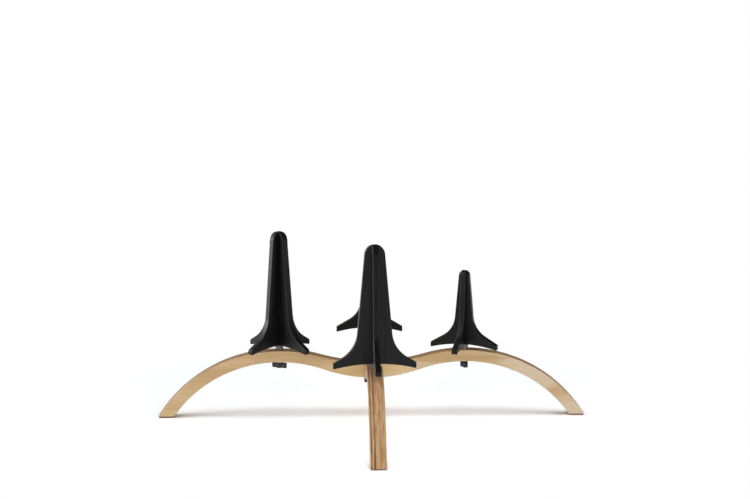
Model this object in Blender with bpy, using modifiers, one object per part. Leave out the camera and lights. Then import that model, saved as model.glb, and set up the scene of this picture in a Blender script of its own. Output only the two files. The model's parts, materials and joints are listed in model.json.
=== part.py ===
"""A stand that holds four brass instruments by their bells.

Two plywood boards, each cut to the outline of a low M, cross in a half lap and are clamped by one bolt.
A black peg made of two slotted plates stands on each of the four crests and goes up into a bell. The
peg's stud passes through the crest to a wing knob, so the peg can be turned to any angle and locked.
Lengths are in metres. The origin is on the floor under the crossing, +Z is up and -Y is the front.
"""

import math
from collections import namedtuple

import bmesh
import bpy
from mathutils import Matrix, Vector

# Play between pieces that touch, and in the holes that a thread passes through
GAP = 0.0003

# The two boards
BOARD_THICKNESS = 0.027
CREST_REACH = 0.165        # from the middle of the stand to each crest
CREST_TOP = 0.1203         # height of a crest above the floor
CREST_DEPTH = 0.0204       # top to underside of the board at a crest
CREST_RADIUS = 0.256       # upper outline, over the crest and down the leg
LEG_GROWTH = 0.0047        # the lower arc is this much under a parallel one, so the leg thickens
VALLEY_DROP = 0.0229       # from the crests down to the middle of the upper outline
VALLEY_DEPTH = 0.0261      # top to underside of the board in the middle
BOARD_ROUNDING = 0.0015

# The soft pads under the feet
PAD_THICKNESS = 0.0018
PAD_INSET = 0.0008
PAD_CORNER = 0.002

# The pegs: the large ones fit a tenor horn or flugelhorn, the small ones a trumpet or cornet
PLATE_THICKNESS = 0.010
PLATE_CHAMFER = 0.0009
LARGE_REACH = 0.071        # from the peg's axis to the tip of a wing
LARGE_HEIGHT = 0.213       # from the wing tips to the top of the peg
LARGE_TOP_RADIUS = 0.0175
LARGE_FLARE_RADIUS = 0.056
SMALL_REACH = 0.0615
SMALL_HEIGHT = 0.142
SMALL_TOP_RADIUS = 0.0095
SMALL_FLARE_RADIUS = 0.044
TAPER_ANGLE = math.radians(5.15)      # lean of the peg's flanks from the vertical
SHOULDER_ANGLE = math.radians(59.5)   # lean of the wings' upper edges from the vertical
TIP_HEIGHT = 0.0096
TIP_ROUNDING = 0.003
ARCH_RISE = 0.0085         # hollow of a plate's underside between its wing tips

# The spindle through each crest
THREAD_RADIUS = 0.003
STUD_SEAT_DEPTH = 0.032    # how far the stud goes up into the peg
STUD_POINT = 0.006
SPACER_RADIUS = 0.007
SPACER_HEIGHT = 0.008
SPACER_ROUNDING = 0.0008
WASHER_RADIUS = 0.008
WASHER_THICKNESS = 0.001
THREAD_CHAMFER = 0.0007

# The bolt through the crossing
BOLT_HEAD_RADIUS = 0.008
BOLT_HEAD_HEIGHT = 0.0035
BOLT_RIM_HEIGHT = 0.0012
BOLT_SOCKET_WIDTH = 0.004
BOLT_SOCKET_DEPTH = 0.002

# The wing knobs
KNOB_HUB_RADIUS = 0.0068
KNOB_HUB_HEIGHT = 0.0101
KNOB_SPAN = 0.028          # from one wing's end to the other's
KNOB_WING_WIDTH = 0.008
KNOB_WING_HEIGHT = 0.009
KNOB_WING_OFFSET = 0.001   # each wing stands this far off the knob's centre line
KNOB_WING_CORNER = 0.0025  # rounding of a wing's end, seen from above
KNOB_ROUNDING = 0.0012
KNOB_FLOOR = 0.0012        # closed bottom of the knob under the thread's end
THREAD_END_ROOM = 0.0008   # between the thread's end and that bottom
INSERT_WIDTH = 0.0088      # across the flats of the hexagonal brass insert
INSERT_LENGTH = 0.006

# How each crest is set up: compass turn of its arm, size of its peg, turn of the peg and of the knob
Place = namedtuple("Place", "name arm_turn peg peg_turn knob_turn")
PegSize = namedtuple("PegSize", "reach height top_radius flare_radius")
LARGE = PegSize(LARGE_REACH, LARGE_HEIGHT, LARGE_TOP_RADIUS, LARGE_FLARE_RADIUS)
SMALL = PegSize(SMALL_REACH, SMALL_HEIGHT, SMALL_TOP_RADIUS, SMALL_FLARE_RADIUS)
PLACES = [
    Place("front", -90, LARGE, 3.5, 75),
    Place("right", 0, SMALL, -21, -76),
    Place("back", 90, SMALL, 0, 60),
    Place("left", 180, LARGE, 45, -24),
]
CENTRE_KNOB_TURN = -15

# Fineness of the arcs
LONG_ARC_STEP = math.radians(3.5)
PEG_ARC_STEP = math.radians(9)
TIP_ARC_STEP = math.radians(30)
ROUND_STEPS = 20
SMALL_ROUND_STEPS = 12

# Heights that follow from the sizes above
SOLE_HEIGHT = PAD_THICKNESS + GAP
CREST_UNDERSIDE = CREST_TOP - CREST_DEPTH
VALLEY_TOP = CREST_TOP - VALLEY_DROP
VALLEY_UNDERSIDE = VALLEY_TOP - VALLEY_DEPTH
UNDER_CREST_RADIUS = CREST_RADIUS - CREST_DEPTH - LEG_GROWTH
HOLE_RADIUS = THREAD_RADIUS + GAP
THREAD_IN_KNOB = KNOB_HUB_HEIGHT - KNOB_FLOOR - THREAD_END_ROOM


def sag(radius, half_chord):
    """How far an arc falls away from its crown over half a chord."""
    return radius - math.sqrt(radius ** 2 - half_chord ** 2)


def material(name, colour, roughness, metallic=0.0):
    """A plain surface of one colour."""
    surface = bpy.data.materials.new(name)
    surface.use_nodes = True
    shader = surface.node_tree.nodes["Principled BSDF"]
    shader.inputs["Base Color"].default_value = (*colour, 1)
    shader.inputs["Roughness"].default_value = roughness
    shader.inputs["Metallic"].default_value = metallic
    surface.diffuse_color = (*colour, 1)
    return surface


def arc(centre, radius, start, end, step):
    """Points along an arc from the angle start to the angle end."""
    count = max(1, math.ceil(abs(end - start) / step - 1e-6))
    angles = [start + (end - start) * i / count for i in range(count + 1)]
    return [centre + radius * Vector((math.cos(a), math.sin(a))) for a in angles]


def fillet(before, corner, after, radius, step):
    """Points of the arc that rounds a corner between two straight edges."""
    back = (before - corner).normalized()
    ahead = (after - corner).normalized()
    half = back.angle(ahead) / 2
    middle = corner + (back + ahead).normalized() * radius / math.sin(half)
    start = corner + back * radius / math.tan(half) - middle
    sweep = start.angle_signed(corner + ahead * radius / math.tan(half) - middle)
    first = math.atan2(start.y, start.x)
    return arc(middle, radius, first, first - sweep, step)


def mirrored(half):
    """A closed outline from its right half, which starts and ends on the mirror line."""
    left = [Vector((-point.x, point.y)) for point in half[-2:0:-1]]
    return half + left


def baked(shape):
    """The mesh of a shape with its modifiers applied. The shape itself is removed."""
    bpy.context.view_layer.update()
    depsgraph = bpy.context.evaluated_depsgraph_get()
    mesh = bpy.data.meshes.new_from_object(shape.evaluated_get(depsgraph))
    bpy.data.objects.remove(shape)
    return mesh


def cutter(name, mesh, location=(0, 0, 0), turn=0.0):
    """A shape that is only used to cut or to join another one."""
    tool = bpy.data.objects.new(name, mesh)
    tool.location = location
    tool.rotation_euler.z = turn
    tool.hide_render = True
    tool.display_type = "WIRE"
    cutters.objects.link(tool)
    return tool


def boolean(shape, tool, operation="DIFFERENCE"):
    """Cut the tool out of the shape, or join it on."""
    modifier = shape.modifiers.new(tool.name, "BOOLEAN")
    modifier.object = tool
    modifier.operation = operation
    modifier.solver = "EXACT"


def edge_bevel(shape, width, segments):
    """Round or chamfer the sharp edges of a shape."""
    modifier = shape.modifiers.new("edges", "BEVEL")
    modifier.width = width
    modifier.segments = segments
    modifier.limit_method = "ANGLE"
    modifier.angle_limit = math.radians(60)
    modifier.use_clamp_overlap = False


def plate(points, thickness):
    """A flat outline in the XZ plane as a solid of the given thickness along Y."""
    curve = bpy.data.curves.new("outline", "CURVE")
    curve.dimensions = "2D"
    curve.fill_mode = "BOTH"
    curve.extrude = thickness / 2
    spline = curve.splines.new("POLY")
    spline.points.add(len(points) - 1)
    for spot, point in zip(spline.points, points):
        spot.co = (point.x, point.y, 0, 1)
    spline.use_cyclic_u = True
    shape = bpy.data.objects.new("outline", curve)
    cutters.objects.link(shape)
    mesh = baked(shape)
    bpy.data.curves.remove(curve)
    solid = bmesh.new()
    solid.from_mesh(mesh)
    bmesh.ops.remove_doubles(solid, verts=solid.verts, dist=1e-6)
    bmesh.ops.dissolve_limit(solid, angle_limit=math.radians(0.5), verts=solid.verts, edges=solid.edges)
    bmesh.ops.recalc_face_normals(solid, faces=solid.faces)
    solid.to_mesh(mesh)
    solid.free()
    mesh.transform(Matrix.Rotation(math.pi / 2, 4, "X"))
    return mesh


def box(size, centre):
    """A rectangular block."""
    solid = bmesh.new()
    bmesh.ops.create_cube(solid, size=1)
    bmesh.ops.scale(solid, vec=size, verts=solid.verts)
    bmesh.ops.translate(solid, vec=centre, verts=solid.verts)
    mesh = bpy.data.meshes.new("block")
    solid.to_mesh(mesh)
    solid.free()
    return mesh


def prism(radius, bottom, top, sides):
    """An upright cylinder or, with six sides, a hexagonal bar."""
    solid = bmesh.new()
    bmesh.ops.create_cone(solid, cap_ends=True, segments=sides, radius1=radius, radius2=radius,
                          depth=top - bottom)
    bmesh.ops.translate(solid, vec=(0, 0, (top + bottom) / 2), verts=solid.verts)
    mesh = bpy.data.meshes.new("prism")
    solid.to_mesh(mesh)
    solid.free()
    return mesh


def turned(profile, steps, ring=False):
    """A turned solid from (radius, height) points that run down its outer side.

    A ring's profile is a closed loop, and any other one starts and ends on the axis.
    """
    count = len(profile)
    edges = [(i, i + 1) for i in range(count - 1)]
    if ring:
        edges.append((count - 1, 0))
    mesh = bpy.data.meshes.new("profile")
    mesh.from_pydata([(radius, 0, height) for radius, height in profile], edges, [])
    shape = bpy.data.objects.new("turning", mesh)
    cutters.objects.link(shape)
    screw = shape.modifiers.new("turn", "SCREW")
    screw.steps = steps
    screw.render_steps = steps
    screw.use_merge_vertices = True
    screw.merge_threshold = 1e-6
    return baked(shape)


def piece(name, mesh, surface, parent=None, location=(0, 0, 0), turn=0.0):
    """One named sub-part of the stand."""
    if not mesh.materials:
        mesh.materials.append(surface)
    mesh.shade_smooth()
    mesh.set_sharp_from_angle(angle=math.radians(35))
    part = bpy.data.objects.new(name, mesh)
    part.parent = parent
    part.location = location
    part.rotation_euler.z = turn
    stand.objects.link(part)
    return part


def axis(name, location, turn=0.0, parent=None):
    """An empty on the line that a moving piece turns about or slides along."""
    empty = bpy.data.objects.new(name, None)
    empty.empty_display_size = 0.02
    empty.location = location
    empty.rotation_euler.z = turn
    empty.parent = parent
    stand.objects.link(empty)
    return empty


def half_contour(crest_height, crest_radius, valley_height):
    """One side of a board's upper or lower outline, from the middle out to the sole of the foot."""
    drop = crest_height - valley_height
    both_radii = (CREST_REACH ** 2 + drop ** 2) / (2 * drop)   # the two arcs touch without a kink
    valley_radius = both_radii - crest_radius
    valley_centre = Vector((0, valley_height + valley_radius))
    crest_centre = Vector((CREST_REACH, crest_height - crest_radius))
    lean = math.atan2(crest_centre.y - valley_centre.y, CREST_REACH)
    sole = math.asin((SOLE_HEIGHT - crest_centre.y) / crest_radius)
    valley = arc(valley_centre, valley_radius, -math.pi / 2, lean, LONG_ARC_STEP)
    crest = arc(crest_centre, crest_radius, lean + math.pi, sole, LONG_ARC_STEP)
    return valley + crest[1:]


def board(notch_is_on_top):
    """One board along X, with its half of the lap, the bolt's hole and a hole through each crest."""
    upper = half_contour(CREST_TOP, CREST_RADIUS, VALLEY_TOP)
    lower = half_contour(CREST_UNDERSIDE, UNDER_CREST_RADIUS, VALLEY_UNDERSIDE)
    shape = bpy.data.objects.new("board", plate(mirrored(upper + lower[::-1]), BOARD_THICKNESS))
    cutters.objects.link(shape)
    edge_bevel(shape, BOARD_ROUNDING, 2)

    lap_height = (VALLEY_TOP + VALLEY_UNDERSIDE) / 2
    lap_width = BOARD_THICKNESS + 2 * GAP
    side = 1 if notch_is_on_top else -1
    floor_of_notch = lap_height - side * GAP / 2
    notch = box((lap_width, 2 * BOARD_THICKNESS, VALLEY_DEPTH),
                (0, 0, floor_of_notch + side * VALLEY_DEPTH / 2))
    boolean(shape, cutter("notch", notch))
    for reach in (-CREST_REACH, 0, CREST_REACH):
        hole = prism(HOLE_RADIUS, VALLEY_UNDERSIDE - VALLEY_DEPTH, CREST_TOP + VALLEY_DEPTH, ROUND_STEPS)
        boolean(shape, cutter("hole", hole, (reach, 0, 0)))
    return baked(shape)


def sole_ends():
    """Distance from the stand's middle to the inner and outer end of a foot's flat sole."""
    ends = []
    for height, radius in ((CREST_UNDERSIDE, UNDER_CREST_RADIUS), (CREST_TOP, CREST_RADIUS)):
        rise = SOLE_HEIGHT - (height - radius)
        ends.append(CREST_REACH + math.sqrt(radius ** 2 - rise ** 2))
    return ends


def foot_pad():
    """A thin soft pad under a foot, on the floor."""
    inner, outer = sole_ends()
    length = outer - inner - 2 * PAD_INSET
    width = BOARD_THICKNESS - 2 * PAD_INSET
    corners = [Vector((x * length / 2, y * width / 2)) for x, y in ((1, -1), (1, 1), (-1, 1), (-1, -1))]
    points = []
    for i, corner in enumerate(corners):
        points += fillet(corners[i - 1], corner, corners[(i + 1) % 4], PAD_CORNER, TIP_ARC_STEP)
    mesh = plate(points, PAD_THICKNESS)
    mesh.transform(Matrix.Rotation(-math.pi / 2, 4, "X"))
    mesh.transform(Matrix.Translation(((inner + outer) / 2, 0, PAD_THICKNESS / 2)))
    return mesh


def peg_outline(size):
    """Outline of a peg plate: domed top, tapered flanks, flared wings and a hollow underside."""
    top_centre = Vector((0, size.height - size.top_radius))
    flank_start = top_centre + size.top_radius * Vector((math.cos(TAPER_ANGLE), math.sin(TAPER_ANGLE)))
    tip_top = Vector((size.reach, TIP_HEIGHT))
    tip_bottom = Vector((size.reach, 0))

    # The flank and the wing's upper edge are straight lines, which the flare's arc joins
    flank_slope = math.tan(TAPER_ANGLE)
    wing_slope = math.tan(SHOULDER_ANGLE)
    flank_foot = flank_start.x + flank_slope * flank_start.y
    wing_foot = tip_top.x + wing_slope * tip_top.y
    height = (wing_foot - flank_foot) / (wing_slope - flank_slope)
    waist = Vector((flank_foot - flank_slope * height, height))

    half = arc(top_centre, size.top_radius, math.pi / 2, TAPER_ANGLE, PEG_ARC_STEP)
    half += fillet(flank_start, waist, tip_top, size.flare_radius, PEG_ARC_STEP)
    half += fillet(waist, tip_top, tip_bottom, TIP_ROUNDING, TIP_ARC_STEP)
    radius = arch_radius(size)
    arch_centre = Vector((0, ARCH_RISE - radius))
    end = math.atan2(-arch_centre.y, size.reach)
    half += arc(arch_centre, radius, end, math.pi / 2, LONG_ARC_STEP)
    return mirrored(half)


def arch_radius(size):
    """Radius of the hollow underside of a peg plate."""
    return (size.reach ** 2 + ARCH_RISE ** 2) / (2 * ARCH_RISE)


def peg_lift(size):
    """Height of the wing tips over the crest, with the plates seated on the spacer."""
    seat = ARCH_RISE - sag(arch_radius(size), SPACER_RADIUS)
    return GAP + SPACER_HEIGHT + GAP - seat


def peg_plate(size, slot_is_on_top):
    """One plate of a peg. The main plate is slotted from above and bored for the stud."""
    shape = bpy.data.objects.new("plate", plate(peg_outline(size), PLATE_THICKNESS))
    cutters.objects.link(shape)
    edge_bevel(shape, PLATE_CHAMFER, 1)
    half_way = (size.height + ARCH_RISE) / 2
    side = 1 if slot_is_on_top else -1
    end_of_slot = half_way - side * GAP / 2
    slot = box((PLATE_THICKNESS + 2 * GAP, 2 * PLATE_THICKNESS, size.height),
               (0, 0, end_of_slot + side * size.height / 2))
    boolean(shape, cutter("slot", slot))
    if slot_is_on_top:
        bore = prism(HOLE_RADIUS, -ARCH_RISE, ARCH_RISE + STUD_SEAT_DEPTH + GAP, ROUND_STEPS)
        boolean(shape, cutter("stud_bore", bore))
    return baked(shape)


def stud(size):
    """A double-ended stud: a point that goes into the peg, and a thread down to the knob."""
    top = peg_lift(size) + ARCH_RISE + STUD_SEAT_DEPTH
    bottom = crest_knob_top() - CREST_TOP - THREAD_IN_KNOB
    return turned([(0, top), (THREAD_RADIUS / 3, top), (THREAD_RADIUS, top - STUD_POINT),
                   (THREAD_RADIUS, bottom + THREAD_CHAMFER), (THREAD_RADIUS - THREAD_CHAMFER, bottom),
                   (0, bottom)], ROUND_STEPS)


def spacer():
    """The round spacer that lifts the peg off the crest."""
    low, high = GAP, GAP + SPACER_HEIGHT
    ease = SPACER_ROUNDING
    return turned([(SPACER_RADIUS - ease, high), (SPACER_RADIUS, high - ease), (SPACER_RADIUS, low + ease),
                   (SPACER_RADIUS - ease, low), (HOLE_RADIUS, low), (HOLE_RADIUS, high)],
                  ROUND_STEPS, ring=True)


def washer():
    """A flat washer, with its upper face at the height of its origin."""
    return turned([(WASHER_RADIUS, 0), (WASHER_RADIUS, -WASHER_THICKNESS),
                   (HOLE_RADIUS, -WASHER_THICKNESS), (HOLE_RADIUS, 0)], ROUND_STEPS, ring=True)


def crest_washer_top():
    """Height of the washer under a crest, clear of the hollow underside at the washer's rim."""
    return CREST_UNDERSIDE - sag(UNDER_CREST_RADIUS, WASHER_RADIUS) - GAP


def crest_knob_top():
    """Height of the upper face of the knob under a crest."""
    return crest_washer_top() - WASHER_THICKNESS - GAP


def bolt(length):
    """The bolt through the crossing, with its head's underside at the height of its origin."""
    dome = BOLT_HEAD_HEIGHT - BOLT_RIM_HEIGHT
    dome_radius = (BOLT_HEAD_RADIUS ** 2 + dome ** 2) / (2 * dome)
    rim_angle = math.asin(BOLT_HEAD_RADIUS / dome_radius)
    crown = arc(Vector((0, BOLT_HEAD_HEIGHT - dome_radius)), dome_radius, math.pi / 2,
                math.pi / 2 - rim_angle, PEG_ARC_STEP)
    profile = [tuple(point) for point in crown]
    profile += [(BOLT_HEAD_RADIUS, 0), (THREAD_RADIUS, 0), (THREAD_RADIUS, THREAD_CHAMFER - length),
                (THREAD_RADIUS - THREAD_CHAMFER, -length), (0, -length)]
    shape = bpy.data.objects.new("bolt", turned(profile, ROUND_STEPS))
    cutters.objects.link(shape)
    socket = prism(hexagon_radius(BOLT_SOCKET_WIDTH), BOLT_HEAD_HEIGHT - BOLT_SOCKET_DEPTH,
                   BOLT_HEAD_HEIGHT + BOLT_SOCKET_DEPTH, 6)
    boolean(shape, cutter("socket", socket))
    return baked(shape)


def hexagon_radius(width):
    """Radius to the corners of a hexagon that is this wide across its flats."""
    return width / math.sqrt(3)


def wing_outline():
    """Seen from above, two round-ended wings that stand to either side of the knob's centre line."""
    end, half = KNOB_SPAN / 2, KNOB_WING_WIDTH / 2
    near, far = -KNOB_WING_OFFSET - half, -KNOB_WING_OFFSET + half
    root_near, end_near = Vector((0, near)), Vector((end, near))
    root_far, end_far = Vector((0, far)), Vector((end, far))
    right = fillet(root_near, end_near, end_far, KNOB_WING_CORNER, TIP_ARC_STEP)
    right += fillet(end_near, end_far, root_far, KNOB_WING_CORNER, TIP_ARC_STEP)
    right.append(root_far)
    return right + [-point for point in right]


def wing_knob():
    """A plastic wing knob, with its upper face at the height of its origin."""
    wings = plate(wing_outline(), KNOB_WING_HEIGHT)
    wings.transform(Matrix.Rotation(-math.pi / 2, 4, "X"))
    wings.transform(Matrix.Translation((0, 0, KNOB_WING_HEIGHT / 2 - KNOB_HUB_HEIGHT)))
    shape = bpy.data.objects.new("knob", wings)
    cutters.objects.link(shape)
    edge_bevel(shape, KNOB_ROUNDING, 2)

    ease = KNOB_ROUNDING
    hub = turned([(0, 0), (KNOB_HUB_RADIUS - ease / 2, 0), (KNOB_HUB_RADIUS, -ease / 2),
                  (KNOB_HUB_RADIUS, ease - KNOB_HUB_HEIGHT), (KNOB_HUB_RADIUS - ease, -KNOB_HUB_HEIGHT),
                  (0, -KNOB_HUB_HEIGHT)], ROUND_STEPS)
    boolean(shape, cutter("hub", hub), "UNION")
    pocket = prism(hexagon_radius(INSERT_WIDTH + 2 * GAP), -INSERT_LENGTH - GAP, KNOB_HUB_HEIGHT, 6)
    boolean(shape, cutter("pocket", pocket))
    bore = prism(HOLE_RADIUS, KNOB_FLOOR - KNOB_HUB_HEIGHT, 0, SMALL_ROUND_STEPS)
    boolean(shape, cutter("thread_bore", bore))
    return baked(shape)


def knob_insert():
    """The hexagonal brass insert in a knob, which runs on the thread."""
    shape = bpy.data.objects.new("insert", prism(hexagon_radius(INSERT_WIDTH), -INSERT_LENGTH, 0, 6))
    cutters.objects.link(shape)
    boolean(shape, cutter("thread", prism(HOLE_RADIUS, -2 * INSERT_LENGTH, INSERT_LENGTH, ROUND_STEPS)))
    return baked(shape)


def build_base():
    """The two boards and their pads."""
    piece("side_board", board(notch_is_on_top=True), plywood)
    piece("front_back_board", board(notch_is_on_top=False), plywood, turn=math.pi / 2)
    pad = foot_pad()
    for place in PLACES:
        piece(place.name + "_foot_pad", pad, rubber, turn=math.radians(place.arm_turn))


def build_clamp(name, meshes, location, turn, parent):
    """A washer and a wing knob with its insert, under a crest or under the crossing."""
    slide = axis(name + "_knob_axis", location, turn, parent)
    knob_top = (0, 0, -WASHER_THICKNESS - GAP)
    piece(name + "_washer", meshes["washer"], steel, slide)
    piece(name + "_wing_knob", meshes["knob"], black_plastic, slide, knob_top)
    piece(name + "_knob_insert", meshes["insert"], brass, slide, knob_top)


def build_pegs(clamp_meshes):
    """Four pegs, each with its stud, spacer, washer and wing knob."""
    peg_meshes = {size: (peg_plate(size, True), peg_plate(size, False), stud(size))
                  for size in (LARGE, SMALL)}
    spacer_mesh = spacer()
    for place in PLACES:
        arm = math.radians(place.arm_turn)
        spot = (CREST_REACH * math.cos(arm), CREST_REACH * math.sin(arm), CREST_TOP)
        peg = axis(place.name + "_peg_axis", spot, math.radians(place.peg_turn))
        main_mesh, cross_mesh, stud_mesh = peg_meshes[place.peg]
        lift = (0, 0, peg_lift(place.peg))
        piece(place.name + "_peg_main_plate", main_mesh, black_board, peg, lift)
        piece(place.name + "_peg_cross_plate", cross_mesh, black_board, peg, lift, math.pi / 2)
        piece(place.name + "_peg_stud", stud_mesh, steel, peg)
        piece(place.name + "_peg_spacer", spacer_mesh, grey_plastic, peg)
        knob_turn = math.radians(place.knob_turn - place.peg_turn)
        build_clamp(place.name, clamp_meshes, (0, 0, crest_washer_top() - CREST_TOP), knob_turn, peg)


def build_crossing(clamp_meshes):
    """The bolt, washer and wing knob that hold the boards together."""
    head = VALLEY_TOP + sag_of_valley(BOLT_HEAD_RADIUS) + GAP
    washer_top = VALLEY_UNDERSIDE - GAP
    bolt_end = washer_top - WASHER_THICKNESS - GAP - THREAD_IN_KNOB
    piece("centre_bolt", bolt(head - bolt_end), steel, location=(0, 0, head))
    build_clamp("centre", clamp_meshes, (0, 0, washer_top), math.radians(CENTRE_KNOB_TURN), None)


def sag_of_valley(half_chord):
    """How far the boards' upper outline has risen at this distance from the middle."""
    both_radii = (CREST_REACH ** 2 + VALLEY_DROP ** 2) / (2 * VALLEY_DROP)
    return sag(both_radii - CREST_RADIUS, half_chord)


for old in list(bpy.data.objects):
    bpy.data.objects.remove(old)

stand = bpy.data.collections.new("bell_stand")
cutters = bpy.data.collections.new("cutters")
for collection in (stand, cutters):
    bpy.context.scene.collection.children.link(collection)

plywood = material("plywood", (0.58, 0.41, 0.22), 0.5)
black_board = material("black_board", (0.012, 0.012, 0.013), 0.6)
black_plastic = material("black_plastic", (0.015, 0.015, 0.016), 0.45)
grey_plastic = material("grey_plastic", (0.16, 0.15, 0.14), 0.5)
steel = material("steel", (0.6, 0.6, 0.62), 0.3, 1.0)
brass = material("brass", (0.75, 0.55, 0.25), 0.3, 1.0)
rubber = material("rubber", (0.05, 0.04, 0.03), 0.8)

shared = {"washer": washer(), "knob": wing_knob(), "insert": knob_insert()}
build_base()
build_pegs(shared)
build_crossing(shared)
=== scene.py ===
"""Looks of the four-place brass instrument stand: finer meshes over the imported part, materials, floor,
lights and camera. Lengths are in metres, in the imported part's own frame.
"""

import json
import math
from collections import namedtuple

import bmesh
import bpy
from mathutils import Matrix, Vector


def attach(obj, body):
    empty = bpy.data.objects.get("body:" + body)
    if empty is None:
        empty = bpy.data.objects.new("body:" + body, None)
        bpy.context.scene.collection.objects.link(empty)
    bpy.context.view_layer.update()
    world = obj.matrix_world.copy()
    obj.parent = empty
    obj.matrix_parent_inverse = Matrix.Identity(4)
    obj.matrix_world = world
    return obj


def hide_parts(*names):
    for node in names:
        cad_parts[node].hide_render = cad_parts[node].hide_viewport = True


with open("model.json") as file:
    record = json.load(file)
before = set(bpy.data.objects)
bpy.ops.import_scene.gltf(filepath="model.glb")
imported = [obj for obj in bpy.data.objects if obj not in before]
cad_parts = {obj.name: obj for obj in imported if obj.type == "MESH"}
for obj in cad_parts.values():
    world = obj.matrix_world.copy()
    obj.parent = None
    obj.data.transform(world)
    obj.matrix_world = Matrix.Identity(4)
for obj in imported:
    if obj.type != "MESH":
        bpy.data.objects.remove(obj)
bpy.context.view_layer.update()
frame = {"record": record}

# Sizes, as in the part's source, and of details only seen here
GAP = 0.0003
BOARD_THICKNESS = 0.027
CREST_REACH = 0.165
CREST_TOP = 0.1203
CREST_DEPTH = 0.0204
CREST_RADIUS = 0.256
LEG_GROWTH = 0.0047
VALLEY_DROP = 0.0229
VALLEY_DEPTH = 0.0261
BOARD_ROUNDING = 0.0015
PAD_THICKNESS = 0.0018
PAD_INSET = 0.0008
PAD_CORNER = 0.002
PAD_EASE = 0.0002
PLATE_THICKNESS = 0.010
PLATE_CHAMFER = 0.0009
PLATE_EASE = 0.00018
TAPER_ANGLE = math.radians(5.15)
SHOULDER_ANGLE = math.radians(59.5)
TIP_HEIGHT = 0.0096
TIP_ROUNDING = 0.003
TIP_LOWER_ROUNDING = 0.0025
ARCH_RISE = 0.0085
THREAD_RADIUS = 0.003
STUD_SEAT_DEPTH = 0.032
STUD_POINT = 0.006
STUD_PLAIN_LENGTH = 0.006
SPACER_RADIUS = 0.007
SPACER_HEIGHT = 0.008
SPACER_ROUNDING = 0.0008
WASHER_RADIUS = 0.008
WASHER_THICKNESS = 0.001
WASHER_EASE = 0.0002
BOLT_HEAD_RADIUS = 0.008
BOLT_HEAD_HEIGHT = 0.0035
BOLT_RIM_HEIGHT = 0.0012
BOLT_HEAD_EASE = 0.0002
BOLT_PLAIN_LENGTH = 0.02
BOLT_SOCKET_WIDTH = 0.004
BOLT_SOCKET_DEPTH = 0.002
KNOB_HUB_RADIUS = 0.0068
KNOB_HUB_HEIGHT = 0.0101
KNOB_SPAN = 0.028
KNOB_WING_WIDTH = 0.008
KNOB_WING_HEIGHT = 0.009
KNOB_WING_OFFSET = 0.001
KNOB_WING_CORNER = 0.0025
KNOB_ROUNDING = 0.0012
KNOB_FLOOR = 0.0012
THREAD_END_ROOM = 0.0008
INSERT_WIDTH = 0.0088
INSERT_LENGTH = 0.006
INSERT_EASE = 0.0003
THREAD_PITCH = 0.001
THREAD_DEPTH = 0.0006
THREAD_END_EASE = 0.0007

Peg = namedtuple("Peg", "reach height top_radius flare_radius")
LARGE = Peg(reach=0.071, height=0.213, top_radius=0.0175, flare_radius=0.056)
SMALL = Peg(reach=0.0615, height=0.142, top_radius=0.0095, flare_radius=0.044)

# Turns in degrees, from the X axis
Place = namedtuple("Place", "name arm peg peg_turn knob_turn")
PLACES = [
    Place("front", -90, LARGE, 3.5, 75),
    Place("right", 0, SMALL, -21, -76),
    Place("back", 90, SMALL, 0, 60),
    Place("left", 180, LARGE, 45, -24),
]
CENTRE_KNOB_TURN = -15

# The tones of a board's inner plies, from one face to the other, 1 being the lightest
PLY_TONES = (0.7, 0.55, 0.66, 0.5, 0.8, 0.6, 0.1, 0.75, 0.2)
PLY_THICKNESS = 0.0028
PLIES_DEPTH = len(PLY_TONES) * PLY_THICKNESS / 2    # from the middle of a board to its face veneer
VENEER_BLEND = 0.0001

# The floor's colour is over 1, so that its plain light shows it white outside the object's shadow
FLOOR_COLOUR = (2.175, 2.23, 2.275)
FLOOR_HALF_SIZE = 30
FLOOR_DROP = 0.0001
BOUNCE_GREY = (0.75, 0.75, 0.75, 1)
WHITE = (1, 1, 1, 1)
LIGHT_TARGET = (0, 0, 0.1)

# The camera that fits the photo: 36 mm wide sensor, 8.5 degrees down, 1.7 degrees to the right
CAMERA_SENSOR = 36
CAMERA_LENS = 91.176
CAMERA_PLACE = (-0.0950, -3.3277, 0.7982)
CAMERA_DOWN = 0.1485
CAMERA_RIGHT = 0.0302

SOLE_HEIGHT = PAD_THICKNESS + GAP
CREST_UNDERSIDE = CREST_TOP - CREST_DEPTH
VALLEY_TOP = CREST_TOP - VALLEY_DROP
VALLEY_UNDERSIDE = VALLEY_TOP - VALLEY_DEPTH
UNDER_CREST_RADIUS = CREST_RADIUS - CREST_DEPTH - LEG_GROWTH
HOLE_RADIUS = THREAD_RADIUS + GAP
THREAD_IN_KNOB = KNOB_HUB_HEIGHT - KNOB_FLOOR - THREAD_END_ROOM

# Fineness
VALLEY_STEPS = 40
CREST_STEPS = 150
FLANK_STEPS = 12
WING_STEPS = 4
PEG_ARC_STEP = math.radians(2)
TIP_ARC_STEP = math.radians(8)
QUARTER_TURN = [math.radians(degrees) for degrees in range(0, 91, 15)]
ROUND_STEPS = 64
ROUNDING_SEGMENTS = 4
EASE_SEGMENTS = 2
THREAD_SIDES = 28
THREAD_RINGS_A_TURN = 8
MERGE_DISTANCE = 1e-6
FLAT_FACE_WEIGHT = 80

BODY_OF = {n: b for b, ns in frame["record"]["behaviour"]["bodies"].items() for n in ns}
SLOT_OF = {s["node"]: s["material_slot"] for s in frame["record"]["subparts"]}


def sag(radius, half_chord):
    """Height of an arc over its chord."""
    return radius - math.sqrt(radius ** 2 - half_chord ** 2)


def arc(centre, radius, start, end, step):
    """Points along an arc from the angle start to the angle end, at most a step apart."""
    count = max(1, math.ceil(abs(end - start) / step - 1e-6))
    angles = [start + (end - start) * i / count for i in range(count + 1)]
    return [centre + radius * Vector((math.cos(a), math.sin(a))) for a in angles]


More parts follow.
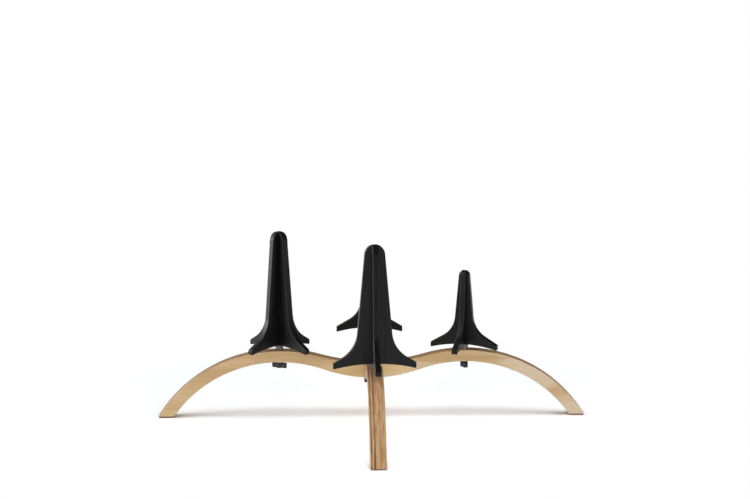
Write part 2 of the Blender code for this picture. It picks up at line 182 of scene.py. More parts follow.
def fillet(before, corner, after, radius, step):
    """Points of the arc that rounds a corner between two straight edges."""
    back = (before - corner).normalized()
    ahead = (after - corner).normalized()
    half = back.angle(ahead) / 2
    middle = corner + (back + ahead).normalized() * radius / math.sin(half)
    start = corner + back * radius / math.tan(half) - middle
    sweep = start.angle_signed(corner + ahead * radius / math.tan(half) - middle)
    first = math.atan2(start.y, start.x)
    return arc(middle, radius, first, first - sweep, step)


def temporary(mesh):
    """An object that only lasts until its mesh is baked."""
    shape = bpy.data.objects.new("temporary", mesh)
    bpy.context.scene.collection.objects.link(shape)
    return shape


def baked(shape):
    """The mesh of a shape with its modifiers applied. The shape and its cutters are removed."""
    cutters = [m.object for m in shape.modifiers if m.type == "BOOLEAN"]
    bpy.context.view_layer.update()
    mesh = bpy.data.meshes.new_from_object(shape.evaluated_get(bpy.context.evaluated_depsgraph_get()))
    for used in [shape, *cutters]:
        bpy.data.objects.remove(used)
    return mesh


def boolean(shape, mesh, location=(0, 0, 0), operation="DIFFERENCE"):
    """Cut a mesh out of a shape, or join it on, once the shape is baked."""
    tool = temporary(mesh)
    tool.location = location
    modifier = shape.modifiers.new("cut", "BOOLEAN")
    modifier.object = tool
    modifier.operation = operation
    modifier.solver = "MANIFOLD"


def bevel(shape, width, segments, angle=60):
    """Bevel the edges at which a shape turns by more than the angle, in degrees."""
    modifier = shape.modifiers.new("edges", "BEVEL")
    modifier.width = width
    modifier.segments = segments
    modifier.limit_method = "ANGLE"
    modifier.angle_limit = math.radians(angle)
    modifier.use_clamp_overlap = False


def plate(points, thickness):
    """A flat outline in the XZ plane as a solid of the given thickness along Y."""
    solid = bmesh.new()
    near = [solid.verts.new((p.x, -thickness / 2, p.y)) for p in points]
    far = [solid.verts.new((p.x, thickness / 2, p.y)) for p in points]
    solid.faces.new(near)
    solid.faces.new(far[::-1])
    for i, corner in enumerate(near):
        solid.faces.new((corner, near[i - 1], far[i - 1], far[i]))
    bmesh.ops.recalc_face_normals(solid, faces=solid.faces)
    return to_mesh(solid)


def to_mesh(solid):
    """The mesh of a bmesh, which is freed."""
    mesh = bpy.data.meshes.new("mesh")
    solid.to_mesh(mesh)
    solid.free()
    return mesh


def box(size, centre):
    """A box as a mesh."""
    solid = bmesh.new()
    bmesh.ops.create_cube(solid, size=1)
    bmesh.ops.scale(solid, vec=size, verts=solid.verts)
    bmesh.ops.translate(solid, vec=centre, verts=solid.verts)
    return to_mesh(solid)


def prism(radius, bottom, top, sides):
    """An upright prism or cylinder as a mesh."""
    solid = bmesh.new()
    bmesh.ops.create_cone(solid, cap_ends=True, segments=sides, radius1=radius, radius2=radius,
                          depth=top - bottom)
    bmesh.ops.translate(solid, vec=(0, 0, (top + bottom) / 2), verts=solid.verts)
    return to_mesh(solid)


def turned(profile, ring=False):
    """A turned solid from (radius, height) points that run down its outer side."""
    count = len(profile)
    edges = [(i, i + 1) for i in range(count - 1)]
    if ring:
        edges.append((count - 1, 0))
    mesh = bpy.data.meshes.new("profile")
    mesh.from_pydata([(radius, 0, height) for radius, height in profile], edges, [])
    shape = temporary(mesh)
    screw = shape.modifiers.new("turn", "SCREW")
    screw.steps = screw.render_steps = ROUND_STEPS
    screw.use_merge_vertices = True
    screw.merge_threshold = MERGE_DISTANCE
    return baked(shape)


def smooth(mesh, angle=35):
    """Smooth shading in which the large faces stay flat."""
    mesh.shade_smooth()
    mesh.set_sharp_from_angle(angle=math.radians(angle))
    shape = temporary(mesh)
    weighted = shape.modifiers.new("normals", "WEIGHTED_NORMAL")
    weighted.keep_sharp = True
    weighted.weight = FLAT_FACE_WEIGHT
    return baked(shape)


def strip(upper, lower, thickness):
    """A flat solid in the XZ plane, mirrored about X = 0, between two half outlines of as many points."""
    pairs = list(zip(upper, lower))
    flipped = [(Vector((-u.x, u.y)), Vector((-l.x, l.y))) for u, l in pairs[:0:-1]]
    solid = bmesh.new()
    columns = [[solid.verts.new((p.x, y, p.y)) for p in pair for y in (-thickness / 2, thickness / 2)]
               for pair in flipped + pairs]
    for left, right in zip(columns, columns[1:]):
        for i, j in ((0, 1), (1, 3), (3, 2), (2, 0)):
            solid.faces.new((left[i], left[j], right[j], right[i]))
    for end in (columns[0], columns[-1]):
        solid.faces.new((end[0], end[1], end[3], end[2]))
    bmesh.ops.recalc_face_normals(solid, faces=solid.faces)
    return to_mesh(solid)


def half_contour(crest_height, crest_radius, valley_height):
    """One side of a board's upper or lower outline, from the middle out to the sole of the foot."""
    drop = crest_height - valley_height
    both_radii = (CREST_REACH ** 2 + drop ** 2) / (2 * drop)
    valley_radius = both_radii - crest_radius
    valley_centre = Vector((0, valley_height + valley_radius))
    crest_centre = Vector((CREST_REACH, crest_height - crest_radius))
    lean = math.atan2(crest_centre.y - valley_centre.y, CREST_REACH)
    sole = math.asin((SOLE_HEIGHT - crest_centre.y) / crest_radius)
    valley = arc(valley_centre, valley_radius, -math.pi / 2, lean, (lean + math.pi / 2) / VALLEY_STEPS)
    crest = arc(crest_centre, crest_radius, lean + math.pi, sole, (lean + math.pi - sole) / CREST_STEPS)
    return valley + crest[1:]


def board(notch_is_on_top):
    """One board along X, with its half of the lap, the bolt's hole and a hole through each crest."""
    upper = half_contour(CREST_TOP, CREST_RADIUS, VALLEY_TOP)
    lower = half_contour(CREST_UNDERSIDE, UNDER_CREST_RADIUS, VALLEY_UNDERSIDE)
    shape = temporary(strip(upper, lower, BOARD_THICKNESS))
    bevel(shape, BOARD_ROUNDING, ROUNDING_SEGMENTS)
    side = 1 if notch_is_on_top else -1
    floor_of_notch = (VALLEY_TOP + VALLEY_UNDERSIDE) / 2 - side * GAP / 2
    boolean(shape, box((BOARD_THICKNESS + 2 * GAP, 2 * BOARD_THICKNESS, VALLEY_DEPTH),
                       (0, 0, floor_of_notch + side * VALLEY_DEPTH / 2)))
    for reach in (-CREST_REACH, 0, CREST_REACH):
        boolean(shape, prism(HOLE_RADIUS, VALLEY_UNDERSIDE - VALLEY_DEPTH, CREST_TOP + VALLEY_DEPTH,
                             ROUND_STEPS), (reach, 0, 0))
    return smooth(baked(shape), 30)


def foot_pad():
    """The pad under the sole at the right end of a board along X."""
    ends = []
    for height, radius in ((CREST_UNDERSIDE, UNDER_CREST_RADIUS), (CREST_TOP, CREST_RADIUS)):
        rise = SOLE_HEIGHT - (height - radius)
        ends.append(CREST_REACH + math.sqrt(radius ** 2 - rise ** 2))
    length = ends[1] - ends[0] - 2 * PAD_INSET
    width = BOARD_THICKNESS - 2 * PAD_INSET
    corners = [Vector((x * length / 2, y * width / 2)) for x, y in ((1, -1), (1, 1), (-1, 1), (-1, -1))]
    points = []
    for i, corner in enumerate(corners):
        points += fillet(corners[i - 1], corner, corners[(i + 1) % 4], PAD_CORNER, TIP_ARC_STEP)
    shape = temporary(plate(points, PAD_THICKNESS))
    bevel(shape, PAD_EASE, EASE_SEGMENTS)
    mesh = baked(shape)
    mesh.transform(Matrix.Rotation(-math.pi / 2, 4, "X"))
    mesh.transform(Matrix.Translation(((ends[0] + ends[1]) / 2, 0, PAD_THICKNESS / 2)))
    return smooth(mesh)


def arch_radius(reach):
    """Radius of the hollow under a peg plate."""
    return (reach ** 2 + ARCH_RISE ** 2) / (2 * ARCH_RISE)


def peg_lift(reach):
    """Height of the wing tips over the crest, with the plates seated on the spacer."""
    return GAP + SPACER_HEIGHT + GAP - ARCH_RISE + sag(arch_radius(reach), SPACER_RADIUS)


def peg_outline(peg):
    """Right half of a peg plate's outline: domed top, tapered flank and flared wing, then the hollow
    underside below the same points.
    """
    top_centre = Vector((0, peg.height - peg.top_radius))
    flank_start = top_centre + peg.top_radius * Vector((math.cos(TAPER_ANGLE), math.sin(TAPER_ANGLE)))
    tip_top = Vector((peg.reach, TIP_HEIGHT))
    flank_slope = math.tan(TAPER_ANGLE)
    wing_slope = math.tan(SHOULDER_ANGLE)
    flank_foot = flank_start.x + flank_slope * flank_start.y
    wing_foot = tip_top.x + wing_slope * tip_top.y
    meeting = (wing_foot - flank_foot) / (wing_slope - flank_slope)
    waist = Vector((flank_foot - flank_slope * meeting, meeting))
    upper = arc(top_centre, peg.top_radius, math.pi / 2, TAPER_ANGLE, PEG_ARC_STEP)
    flare = fillet(flank_start, waist, tip_top, peg.flare_radius, PEG_ARC_STEP)
    upper += [flank_start.lerp(flare[0], i / FLANK_STEPS) for i in range(1, FLANK_STEPS)]
    tip = fillet(waist, tip_top, Vector((peg.reach, 0)), TIP_ROUNDING, TIP_ARC_STEP)
    upper += flare
    upper += [flare[-1].lerp(tip[0], i / WING_STEPS) for i in range(1, WING_STEPS)]
    upper += tip
    upper[0].x = 0
    upper[-1].x = peg.reach
    radius = arch_radius(peg.reach)
    lower = [Vector((point.x, ARCH_RISE - sag(radius, point.x))) for point in upper]
    for point in lower:
        past = point.x - (peg.reach - TIP_LOWER_ROUNDING)
        if past > 0:
            point.y += sag(TIP_LOWER_ROUNDING, min(past, TIP_LOWER_ROUNDING))
    return upper, lower


def peg_plate(peg, slot_is_on_top):
    """One plate of a peg. The main plate is slotted from above and bored for the stud."""
    shape = temporary(strip(*peg_outline(peg), PLATE_THICKNESS))
    bevel(shape, PLATE_CHAMFER, 1)
    bevel(shape, PLATE_EASE, EASE_SEGMENTS, 30)
    side = 1 if slot_is_on_top else -1
    end_of_slot = (peg.height + ARCH_RISE) / 2 - side * GAP / 2
    boolean(shape, box((PLATE_THICKNESS + 2 * GAP, 2 * PLATE_THICKNESS, peg.height),
                       (0, 0, end_of_slot + side * peg.height / 2)))
    if slot_is_on_top:
        boolean(shape, prism(HOLE_RADIUS, -ARCH_RISE, ARCH_RISE + STUD_SEAT_DEPTH + GAP, ROUND_STEPS))
    return smooth(baked(shape), 40)


def threaded(top_rows, bottom):
    """A steel rod from its upper (height, radius) rows, the last of them plain, down to its rolled thread."""
    plain_bottom = top_rows[-1][0]
    count = int((plain_bottom - bottom) / THREAD_PITCH * THREAD_RINGS_A_TURN)
    rings = [[(radius, height)] * THREAD_SIDES for height, radius in top_rows]

    # The grooves have flat bottoms and sloping sides, and deepen over the first turn of the thread
    for i in range(1, count + 1):
        height = plain_bottom - (plain_bottom - bottom) * i / count
        run_out = min(1.0, (plain_bottom - height) / THREAD_PITCH)
        end_radius = THREAD_RADIUS - THREAD_END_EASE + height - bottom
        ring = []
        for j in range(THREAD_SIDES):
            phase = (height / THREAD_PITCH - j / THREAD_SIDES) % 1
            groove = min(1.0, max(0.0, 1.25 - abs(phase - 0.5) * 3.2))
            depth = THREAD_DEPTH * groove * run_out
            ring.append((min(THREAD_RADIUS - depth, end_radius), height))
        rings.append(ring)

    solid = bmesh.new()
    turns = [2 * math.pi * j / THREAD_SIDES for j in range(THREAD_SIDES)]
    grid = [[solid.verts.new((r * math.cos(a), r * math.sin(a), z)) for a, (r, z) in zip(turns, ring)]
            for ring in rings]
    for upper, lower in zip(grid, grid[1:]):
        for j in range(THREAD_SIDES):
            solid.faces.new((upper[j - 1], lower[j - 1], lower[j], upper[j]))
    solid.faces.new(grid[0][::-1])
    solid.faces.new(grid[-1])
    bmesh.ops.recalc_face_normals(solid, faces=solid.faces)
    return to_mesh(solid)


def crest_washer_top():
    """Height of the washers under the crests."""
    return CREST_UNDERSIDE - sag(UNDER_CREST_RADIUS, WASHER_RADIUS) - GAP


def stud(peg):
    """A peg's stud, with its origin on the crest: a point in the peg, and a thread under the board."""
    top = peg_lift(peg.reach) + ARCH_RISE + STUD_SEAT_DEPTH
    bottom = crest_washer_top() - WASHER_THICKNESS - GAP - CREST_TOP - THREAD_IN_KNOB
    rows = [(top, THREAD_RADIUS / 3), (top - STUD_POINT, THREAD_RADIUS), (-STUD_PLAIN_LENGTH, THREAD_RADIUS)]
    return smooth(threaded(rows, bottom), 50)


def spacer():
    """The round spacer between a crest and its peg, with its origin on the crest."""
    low = GAP
    high = GAP + SPACER_HEIGHT
    ease = SPACER_ROUNDING
    outer = [(SPACER_RADIUS - ease + ease * math.sin(a), high - ease + ease * math.cos(a))
             for a in QUARTER_TURN]
    outer += [(radius, low + high - height) for radius, height in outer[::-1]]
    return smooth(turned(outer + [(HOLE_RADIUS, low), (HOLE_RADIUS, high)], ring=True))


def washer():
    """A flat washer, with its upper face at the height of its origin."""
    ease = WASHER_EASE
    return smooth(turned([(WASHER_RADIUS - ease, 0), (WASHER_RADIUS, -ease),
                          (WASHER_RADIUS, ease - WASHER_THICKNESS), (WASHER_RADIUS - ease, -WASHER_THICKNESS),
                          (HOLE_RADIUS + ease, -WASHER_THICKNESS), (HOLE_RADIUS, ease - WASHER_THICKNESS),
                          (HOLE_RADIUS, -ease), (HOLE_RADIUS + ease, 0)], ring=True))


def hexagon_radius(width):
    """Radius through the corners of a hexagon of the given width across its flats."""
    return width / math.sqrt(3)


def bolt(length):
    """The bolt through the crossing, with its head's underside at the height of its origin."""
    dome = BOLT_HEAD_HEIGHT - BOLT_RIM_HEIGHT
    dome_radius = (BOLT_HEAD_RADIUS ** 2 + dome ** 2) / (2 * dome)
    rim_angle = math.asin(BOLT_HEAD_RADIUS / dome_radius)
    crown = arc(Vector((0, BOLT_HEAD_HEIGHT - dome_radius)), dome_radius, math.pi / 2,
                math.pi / 2 - rim_angle, PEG_ARC_STEP)
    underside = [(BOLT_HEAD_RADIUS, BOLT_HEAD_EASE), (BOLT_HEAD_RADIUS - BOLT_HEAD_EASE, 0), (0, 0)]
    shape = temporary(turned([tuple(point) for point in crown] + underside))
    rod = threaded([(BOLT_RIM_HEIGHT, THREAD_RADIUS), (-BOLT_PLAIN_LENGTH, THREAD_RADIUS)], -length)
    boolean(shape, rod, operation="UNION")
    boolean(shape, prism(hexagon_radius(BOLT_SOCKET_WIDTH), BOLT_HEAD_HEIGHT - BOLT_SOCKET_DEPTH,
                         BOLT_HEAD_HEIGHT + BOLT_SOCKET_DEPTH, 6))
    return smooth(baked(shape), 50)


def wing_knob():
    """A plastic wing knob, with its upper face at the height of its origin."""
    end = KNOB_SPAN / 2
    near = -KNOB_WING_OFFSET - KNOB_WING_WIDTH / 2
    far = -KNOB_WING_OFFSET + KNOB_WING_WIDTH / 2
    right = fillet(Vector((0, near)), Vector((end, near)), Vector((end, far)), KNOB_WING_CORNER, TIP_ARC_STEP)
    right += fillet(Vector((end, near)), Vector((end, far)), Vector((0, far)), KNOB_WING_CORNER, TIP_ARC_STEP)
    right.append(Vector((0, far)))
    wings = plate(right + [-point for point in right], KNOB_WING_HEIGHT)
    wings.transform(Matrix.Rotation(-math.pi / 2, 4, "X"))
    wings.transform(Matrix.Translation((0, 0, KNOB_WING_HEIGHT / 2 - KNOB_HUB_HEIGHT)))
    shape = temporary(wings)
    bevel(shape, KNOB_ROUNDING, ROUNDING_SEGMENTS)
    ease = KNOB_ROUNDING
    foot = [(KNOB_HUB_RADIUS - ease + ease * math.cos(a), ease - KNOB_HUB_HEIGHT - ease * math.sin(a))
            for a in QUARTER_TURN]
    hub = turned([(0, 0), (KNOB_HUB_RADIUS - ease / 2, 0), (KNOB_HUB_RADIUS, -ease / 2), *foot,
                  (0, -KNOB_HUB_HEIGHT)])
    boolean(shape, hub, operation="UNION")
    boolean(shape, prism(hexagon_radius(INSERT_WIDTH + 2 * GAP), -INSERT_LENGTH - GAP, KNOB_HUB_HEIGHT, 6))
    boolean(shape, prism(HOLE_RADIUS, KNOB_FLOOR - KNOB_HUB_HEIGHT, 0, ROUND_STEPS))
    return smooth(baked(shape))


def knob_insert():
    """The hexagonal insert of a knob, with its upper face at the height of its origin."""
    shape = temporary(prism(hexagon_radius(INSERT_WIDTH), -INSERT_LENGTH, 0, 6))
    bevel(shape, INSERT_EASE, EASE_SEGMENTS, 50)
    boolean(shape, prism(HOLE_RADIUS, -2 * INSERT_LENGTH, INSERT_LENGTH, ROUND_STEPS))
    return smooth(baked(shape))


class Nodes:
    """A node tree under construction, with short ways to add nodes."""

    def __init__(self, tree):
        self.tree = tree

    def set(self, node, sockets):
        """Link or set sockets. _2 stands for the socket with the index 2, and Base_Color for Base Color."""
        for name, value in sockets.items():
            by_index = name[0] == "_" and name[1:].isdigit()
            socket = node.inputs[int(name[1:]) if by_index else name.replace("_", " ")]
            if isinstance(value, bpy.types.NodeSocket):
                self.tree.links.new(value, socket)
            elif isinstance(value, bpy.types.Node):
                self.tree.links.new(value.outputs[0], socket)
            else:
                socket.default_value = value

    def node(self, kind, settings=None, **sockets):
        """A new node with its settings and its sockets' values or links."""
        made = self.tree.nodes.new("ShaderNode" + kind)
        for name, value in (settings or {}).items():
            setattr(made, name, value)
        self.set(made, sockets)
        return made

    def math(self, operation, *values):
        """A Math node for the given operation on the values."""
        made = self.node("Math", {"operation": operation})
        for i, value in enumerate(values):
            self.set(made, {f"_{i}": value})
        return made

    def noise(self, scale, detail=3.0, roughness=0.5, seed=0.0):
        """A noise pattern over object coordinates, each axis times its own scale."""
        place = self.node("VectorMath", {"operation": "MULTIPLY_ADD"}, _1=scale, _2=(0, seed, 0),
                          _0=self.node("TexCoord").outputs["Object"])
        return self.node("TexNoise", None, Vector=place, Scale=1.0, Detail=detail,
                         Roughness=roughness).outputs["Fac"]

    def ramp(self, factor, *stops):
        """A smooth change between the colours or values at the given places."""
        made = self.node("ValToRGB", None, Fac=factor)
        elements = made.color_ramp.elements
        while len(elements) < len(stops):
            elements.new(0.5)
        for element, (spot, colour) in zip(elements, stops):
            element.position = spot
            element.color = (*colour, 1) if hasattr(colour, "__len__") else (colour, colour, colour, 1)
        return made.outputs[0]

    def steps(self, factor, values):
        """The values one after another, each over an equal share of 0 to 1."""
        made = self.node("ValToRGB", None, Fac=factor)
        made.color_ramp.interpolation = "CONSTANT"
        elements = made.color_ramp.elements
        while len(elements) < len(values):
            elements.new(0.5)
        for i, value in enumerate(values):
            elements[i].position = i / len(values)
            elements[i].color = (value, value, value, 1)
        return made.outputs[0]

    def fade(self, value, start, end, first, last):
        """A number that goes from first to last as the value goes from start to end."""
        return self.node("MapRange", None, Value=value, _1=start, _2=end, _3=first, _4=last)

    def mix(self, factor, first, second, blend="MIX"):
        """A mix or product of two colours."""
        made = self.node("Mix", {"data_type": "RGBA", "blend_type": blend})
        for spot, value in ((0, factor), (6, first), (7, second)):
            self.set(made, {f"_{spot}": (*value, 1) if isinstance(value, tuple) else value})
        return made.outputs[2]

    def largest(self, *values):
        """The largest of some values."""
        made = values[0]
        for value in values[1:]:
            made = self.math("MAXIMUM", made, value)
        return made


class Surface(Nodes):
    """A material under construction."""

    def __init__(self, name, **sockets):
        self.material = bpy.data.materials.new(name)
        self.material.use_nodes = True
        super().__init__(self.material.node_tree)
        self.shader = self.tree.nodes["Principled BSDF"]
        self.set(self.shader, sockets)

    def bump(self, height, distance, strength=1.0):
        """Fine relief, with the distance in metres."""
        made = self.node("Bump", None, Height=height, Distance=distance, Strength=strength)
        self.set(self.shader, {"Normal": made})


def ply_edge(wood, spot, across, pores):
    """The cut edge of a board: plies of several tones, with glue lines, streaks and pores, and painted light
    and shade that make it lighter up high and darker towards the foot.
    """
    count = wood.math("DIVIDE", wood.math("ADD", across, PLIES_DEPTH), PLY_THICKNESS)
    index = wood.math("FLOOR", count)
    tone = wood.steps(wood.math("DIVIDE", wood.math("ADD", index, 0.5), len(PLY_TONES)), PLY_TONES)
    odd = wood.math("MODULO", wood.math("ADD", index, 11), 2)
    within = wood.math("SUBTRACT", wood.math("FRACT", count), 0.5)
    glue = wood.ramp(wood.math("ABSOLUTE", within), (0.43, 1.0), (0.49, 0.8))

    streaks = wood.noise((14, 900, 14), 5.0, 0.62)
    figure = wood.noise((30, 330, 30), 2.0, 0.5)
    flecks = wood.noise((190, 1500, 190), 2.0)
    level = wood.math("MULTIPLY", wood.math("SUBTRACT", tone, 0.08), 0.72)
    level = wood.math("ADD", level, wood.math("MULTIPLY", streaks, 0.75))
    level = wood.math("ADD", level, wood.math("MULTIPLY", wood.math("SUBTRACT", figure, 0.5), 1.1))
    edge = wood.ramp(level, (0.3, (0.18, 0.076, 0.031)), (0.5, (0.39, 0.192, 0.084)),
                     (0.7, (0.55, 0.318, 0.158)), (0.92, (0.68, 0.43, 0.225)))
    edge = wood.mix(1.0, edge, wood.ramp(flecks, (0.33, 0.62), (0.45, 1.0)), "MULTIPLY")
    speck = wood.ramp(pores, (0.36, 0.75), (0.5, 1.0))
    edge = wood.mix(wood.math("MULTIPLY", odd, 0.7), edge, wood.mix(1.0, edge, speck, "MULTIPLY"))
    edge = wood.mix(1.0, edge, glue, "MULTIPLY")
    # Painted light and shade: the edges are lighter up high and darker towards the foot, to even out how the
    # lamps light the legs
    painted_light_and_shade_by_height = wood.fade(spot.outputs["Z"], 0.02, 0.1, 0.87, 1.13)
    return wood.mix(1.0, edge, painted_light_and_shade_by_height, "MULTIPLY")


def face_veneer(wood, spot, fine):
    """The flat face of a board: pale bands along the grain, greyer on one arm, and painted light that makes
    it lighter and warmer in the middle.
    """
    bands = wood.noise((2.2, 1, 46), 3.0, 0.55, seed=362.6)
    veneer = wood.ramp(bands, (0.3, (0.56, 0.36, 0.168)), (0.5, (0.67, 0.465, 0.246)),
                       (0.7, (0.735, 0.54, 0.31)))
    patches = wood.noise((5.5, 1, 17), 3.0, 0.6, seed=736.3)
    pale = wood.math("SUBTRACT", wood.math("MULTIPLY", spot.outputs["X"], 0.5), patches)
    pale = wood.ramp(wood.math("ADD", pale, 1.0), (0.56, 0.0), (0.66, 0.8))
    veneer = wood.mix(pale, veneer, (0.755, 0.605, 0.44))
    # Painted light: the faces near the middle are lighter and warmer, against the shade that the pegs cast
    # there
    middle = wood.fade(wood.math("ABSOLUTE", spot.outputs["X"]), 0.055, 0.085, 1.0, 0.0)
    veneer = wood.mix(middle, veneer, wood.mix(1.0, veneer, (1.13, 1.1, 0.98), "MULTIPLY"))
    return wood.mix(1.0, veneer, wood.ramp(fine, (0.3, 0.8), (0.6, 1.0)), "MULTIPLY")


def plywood():
    """Hardwood plywood: a pale veneer on the faces, and darker plies with glue lines on cut edges."""
    wood = Surface("plywood", Roughness=0.5, Coat_Weight=0.06, Coat_Roughness=0.3)
    spot = wood.node("SeparateXYZ", None, Vector=wood.node("TexCoord").outputs["Object"])
    wobble = wood.math("MULTIPLY", wood.math("SUBTRACT", wood.noise((7, 0, 7), 3.0), 0.5), 0.0018)
    across = wood.math("ADD", spot.outputs["Y"], wobble)
    fine = wood.noise((16, 1, 1400), 4.0, 0.6)
    pores = wood.noise((1500, 1300, 620), 2.0)

    # The depth is scaled up to use more of the ramp's 0 to 1
    scale = 50
    on_face = wood.ramp(wood.math("MULTIPLY", wood.math("ABSOLUTE", across), scale),
                        (scale * (PLIES_DEPTH - VENEER_BLEND), 0.0),
                        (scale * (PLIES_DEPTH + VENEER_BLEND), 1.0))
    colour = wood.mix(on_face, ply_edge(wood, spot, across, pores), face_veneer(wood, spot, fine))
    wood.set(wood.shader, {"Base Color": colour})
    wood.bump(wood.math("ADD", fine, wood.math("MULTIPLY", pores, 0.5)), 0.00003, 0.5)
    return wood.material


def black_board():
    """Matte black board, slightly mottled, with fine sanding marks."""
    black = Surface("black_board", Roughness=0.36, Specular_IOR_Level=0.28)
    mottle = black.noise((70, 70, 70), 4.0, 0.6)
    grain = black.noise((2200, 2200, 2200), 2.0)
    colour = black.ramp(mottle, (0.3, (0.003, 0.0031, 0.0033)), (0.7, (0.005, 0.0051, 0.0053)))
    black.set(black.shader, {"Base Color": colour})
    black.bump(grain, 0.00004, 0.35)
    return black.material


def moulded(name, low, high, roughness, specular, grain=0.35):
    """Moulded or turned plastic or rubber with a fine even grain."""
    made = Surface(name, Specular_IOR_Level=specular)
    made.set(made.shader, {"Base Color": made.ramp(made.noise((180, 180, 180), 3.0), (0.3, low), (0.7, high)),
                           "Roughness": made.ramp(made.noise((900, 900, 900), 2.0), (0.3, roughness - 0.06),
                                                  (0.7, roughness + 0.06))})
    made.bump(made.noise((2600, 2600, 2600), 2.0), 0.00003, grain)
    return made.material


def metal(name, low, high, roughness, stretch):
    """Plated or machined metal with fine marks along its turning."""
    made = Surface(name, Metallic=1.0)
    marks = made.noise(stretch, 3.0, 0.6)
    made.set(made.shader, {"Base Color": made.ramp(made.noise((260, 260, 260), 3.0), (0.3, low), (0.7, high)),
                           "Roughness": made.ramp(marks, (0.3, roughness - 0.07), (0.7, roughness + 0.09))})
    made.bump(marks, 0.00002, 0.3)
    return made.material


SURFACES = {
    "plywood": plywood(),
    "black_board": black_board(),
    "black_plastic": moulded("black_plastic", (0.012, 0.0125, 0.0135), (0.018, 0.0185, 0.02), 0.42, 0.4),
    "grey_plastic": moulded("grey_plastic", (0.115, 0.11, 0.1), (0.15, 0.142, 0.128), 0.45, 0.4),
    "steel": metal("steel", (0.58, 0.59, 0.6), (0.68, 0.69, 0.71), 0.3, (300, 300, 2400)),
    "brass": metal("brass", (0.68, 0.48, 0.2), (0.78, 0.57, 0.27), 0.3, (300, 300, 2400)),
    "rubber": moulded("rubber", (0.17, 0.125, 0.085), (0.23, 0.175, 0.12), 0.8, 0.2, 0.8),
}


def add(node, mesh, location=(0, 0, 0), turn=0.0):
    """A finer piece that stands for a CAD node and rides on its body."""
    mesh.materials.clear()
    mesh.materials.append(SURFACES[SLOT_OF[node]])
    fine = bpy.data.objects.new(node + "_fine", mesh)
    fine.location = location
    fine.rotation_euler.z = turn
    bpy.context.scene.collection.objects.link(fine)
    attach(fine, BODY_OF[node])
    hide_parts(node)


shared = {"washer": washer(), "knob": wing_knob(), "insert": knob_insert(), "spacer": spacer(),
          "pad": foot_pad()}


def add_clamp(name, x, y, washer_top, turn):
    """A washer, and under it a wing knob with its insert."""
    knob_top = washer_top - WASHER_THICKNESS - GAP
    add(name + "_washer", shared["washer"], (x, y, washer_top), turn)
    add(name + "_wing_knob", shared["knob"], (x, y, knob_top), turn)
    add(name + "_knob_insert", shared["insert"], (x, y, knob_top), turn)


add("side_board", board(notch_is_on_top=True))
add("front_back_board", board(notch_is_on_top=False), turn=math.pi / 2)

peg_meshes = {peg: (peg_plate(peg, slot_is_on_top=True), peg_plate(peg, slot_is_on_top=False), stud(peg))
              for peg in (LARGE, SMALL)}

for place in PLACES:
    arm = math.radians(place.arm)
    peg_turn = math.radians(place.peg_turn)
    x = CREST_REACH * math.cos(arm)
    y = CREST_REACH * math.sin(arm)
    main, cross, peg_stud = peg_meshes[place.peg]
    seat = (x, y, CREST_TOP + peg_lift(place.peg.reach))
    add(place.name + "_foot_pad", shared["pad"], turn=arm)
    add(place.name + "_peg_main_plate", main, seat, peg_turn)
    add(place.name + "_peg_cross_plate", cross, seat, peg_turn + math.pi / 2)
    add(place.name + "_peg_stud", peg_stud, (x, y, CREST_TOP), peg_turn)
    add(place.name + "_peg_spacer", shared["spacer"], (x, y, CREST_TOP), peg_turn)
    add_clamp(place.name, x, y, crest_washer_top(), math.radians(place.knob_turn))

centre_washer_top = VALLEY_UNDERSIDE - GAP
valley_radius = (CREST_REACH ** 2 + VALLEY_DROP ** 2) / (2 * VALLEY_DROP) - CREST_RADIUS
head_seat = VALLEY_TOP + sag(valley_radius, BOLT_HEAD_RADIUS) + GAP
bolt_length = head_seat - centre_washer_top + WASHER_THICKNESS + GAP + THREAD_IN_KNOB
add("centre_bolt", bolt(bolt_length), (0, 0, head_seat))
add_clamp("centre", 0, 0, centre_washer_top, math.radians(CENTRE_KNOB_TURN))


def floor_material():
    """White to the camera outside the object's shadow, and plain pale grey to everything else. Its
    underside is clear, so that views from below show the object.
    """
    floor = Surface("floor")
    path = floor.node("LightPath")
    seen = floor.largest(*(path.outputs[f"Is {ray} Ray"] for ray in ("Camera", "Glossy", "Transmission")))
    bounced = floor.node("BsdfDiffuse", None, Color=BOUNCE_GREY)

    # Painted shade close to the object, from ambient occlusion, and painted light that makes the floor a
    # little lighter under its front-to-back board, against that board's shadow
    spot = floor.node("SeparateXYZ", None, Vector=floor.node("TexCoord").outputs["Object"])
    near = floor.node("AmbientOcclusion", {"samples": 4}, Distance=0.035).outputs["AO"]
    painted_light_along_board = floor.fade(floor.math("ABSOLUTE", spot.outputs["X"]), 0.03, 0.16, 1.15, 1.0)
    shade = floor.math("MULTIPLY", floor.math("POWER", near, 0.4), painted_light_along_board)
    shade = floor.node("VectorMath", {"operation": "SCALE"}, _0=FLOOR_COLOUR, Scale=shade)
    lit = floor.node("BsdfDiffuse", None, Color=shade)

    # Plain white from 0.42 m out, in full from 0.6 m
    white = floor.node("Emission", None, Color=WHITE, Strength=1.0)
    squares = [floor.math("MULTIPLY", spot.outputs[i], spot.outputs[i]) for i in (0, 1)]
    reach = floor.math("SQRT", floor.math("ADD", *squares))
    far = floor.ramp(floor.math("DIVIDE", reach, 2.0), (0.21, 0.0), (0.3, 1.0))

    shown = floor.node("MixShader", None, _0=far, _1=lit, _2=white)
    both = floor.node("MixShader", None, _0=seen, _1=bounced, _2=shown)
    both = floor.node("MixShader", None, _0=floor.node("NewGeometry").outputs["Backfacing"], _1=both,
                      _2=floor.node("BsdfTransparent"))
    floor.tree.links.new(both.outputs[0], floor.tree.nodes["Material Output"].inputs["Surface"])
    floor.tree.nodes.remove(floor.shader)
    return floor.material


floor_mesh = bmesh.new()
bmesh.ops.create_grid(floor_mesh, x_segments=1, y_segments=1, size=FLOOR_HALF_SIZE)
floor = bpy.data.objects.new("floor", to_mesh(floor_mesh))
floor.location.z = -FLOOR_DROP
floor.data.materials.append(floor_material())
bpy.context.scene.collection.objects.link(floor)


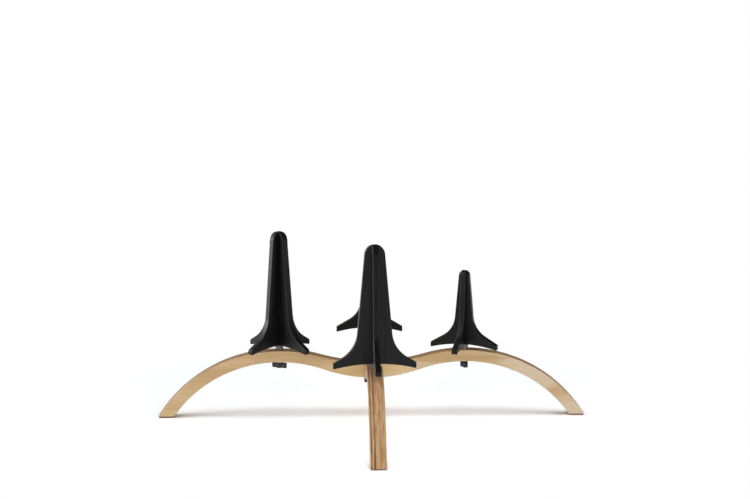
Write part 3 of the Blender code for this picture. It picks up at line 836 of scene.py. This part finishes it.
def studio():
    """White behind the object, and a plain room that is darker on the camera's side. Reflections see it
    brightest on the left.
    """
    world = bpy.data.worlds.new("studio")
    world.use_nodes = True
    room = Nodes(world.node_tree)
    path = room.node("LightPath")
    seen = room.largest(path.outputs["Is Camera Ray"], path.outputs["Is Transmission Ray"])
    side = room.node("SeparateXYZ", None, Vector=room.node("TexCoord").outputs["Generated"])
    ambient = room.fade(side.outputs["Y"], -0.9, 0.3, 0.05, 0.12)
    depth = room.fade(side.outputs["Y"], -1.0, 1.0, 0.0, 1.0)
    dim = room.ramp(depth, (0.1, 0.08), (0.5, 1.0), (0.65, 0.3), (1.0, 0.2))
    left = room.fade(side.outputs["X"], -1.0, 0.0, 12.0, 0.4)
    high = room.fade(side.outputs["Z"], 0.2, 0.8, 1.0, 0.3)
    glossy = room.math("MULTIPLY", room.math("MULTIPLY", dim, left), high)
    strength = room.node("Mix", None, _0=path.outputs["Is Glossy Ray"], _2=ambient, _3=glossy)
    strength = room.node("Mix", None, _0=seen, _2=strength, _3=1.0)
    room.set(room.tree.nodes["Background"], {"Color": WHITE, "Strength": strength})
    bpy.context.scene.world = world


studio()


def softbox(name, location, width, height, level):
    """A large soft lamp. Level is how bright it makes a white surface that faces it at the target."""
    lamp = bpy.data.lights.new(name, "AREA")
    lamp.shape = "RECTANGLE"
    lamp.size = width
    lamp.size_y = height
    offset = Vector(LIGHT_TARGET) - Vector(location)
    lamp.energy = level * math.pi ** 2 * offset.length ** 2
    holder = bpy.data.objects.new(name, lamp)
    holder.location = location
    holder.rotation_euler = offset.to_track_quat("-Z", "Y").to_euler()
    holder.visible_glossy = False
    bpy.context.scene.collection.objects.link(holder)


softbox("top_light", (0, -0.7, 3.2), width=12.0, height=2.1, level=0.86)
softbox("front_light", (0.15, -3.6, 0.35), width=1.4, height=0.5, level=0.5)
softbox("left_light", (-2.4, -2.8, 0.6), width=1.6, height=1.0, level=0.09)
softbox("right_light", (2.4, -2.8, 0.6), width=1.6, height=1.0, level=0.1)
softbox("back_light", (0, 3.6, 0.12), width=2.4, height=0.2, level=0.3)

camera = bpy.data.objects.new("camera", bpy.data.cameras.new("camera"))
camera.data.sensor_width = CAMERA_SENSOR
camera.data.lens = CAMERA_LENS
camera.location = CAMERA_PLACE
camera.rotation_euler = (math.pi / 2 - CAMERA_DOWN, 0, -CAMERA_RIGHT)
camera.data.clip_start = 0.05
camera.data.clip_end = 200
bpy.context.scene.collection.objects.link(camera)
bpy.context.scene.camera = camera
bpy.context.scene.view_settings.view_transform = "Standard"
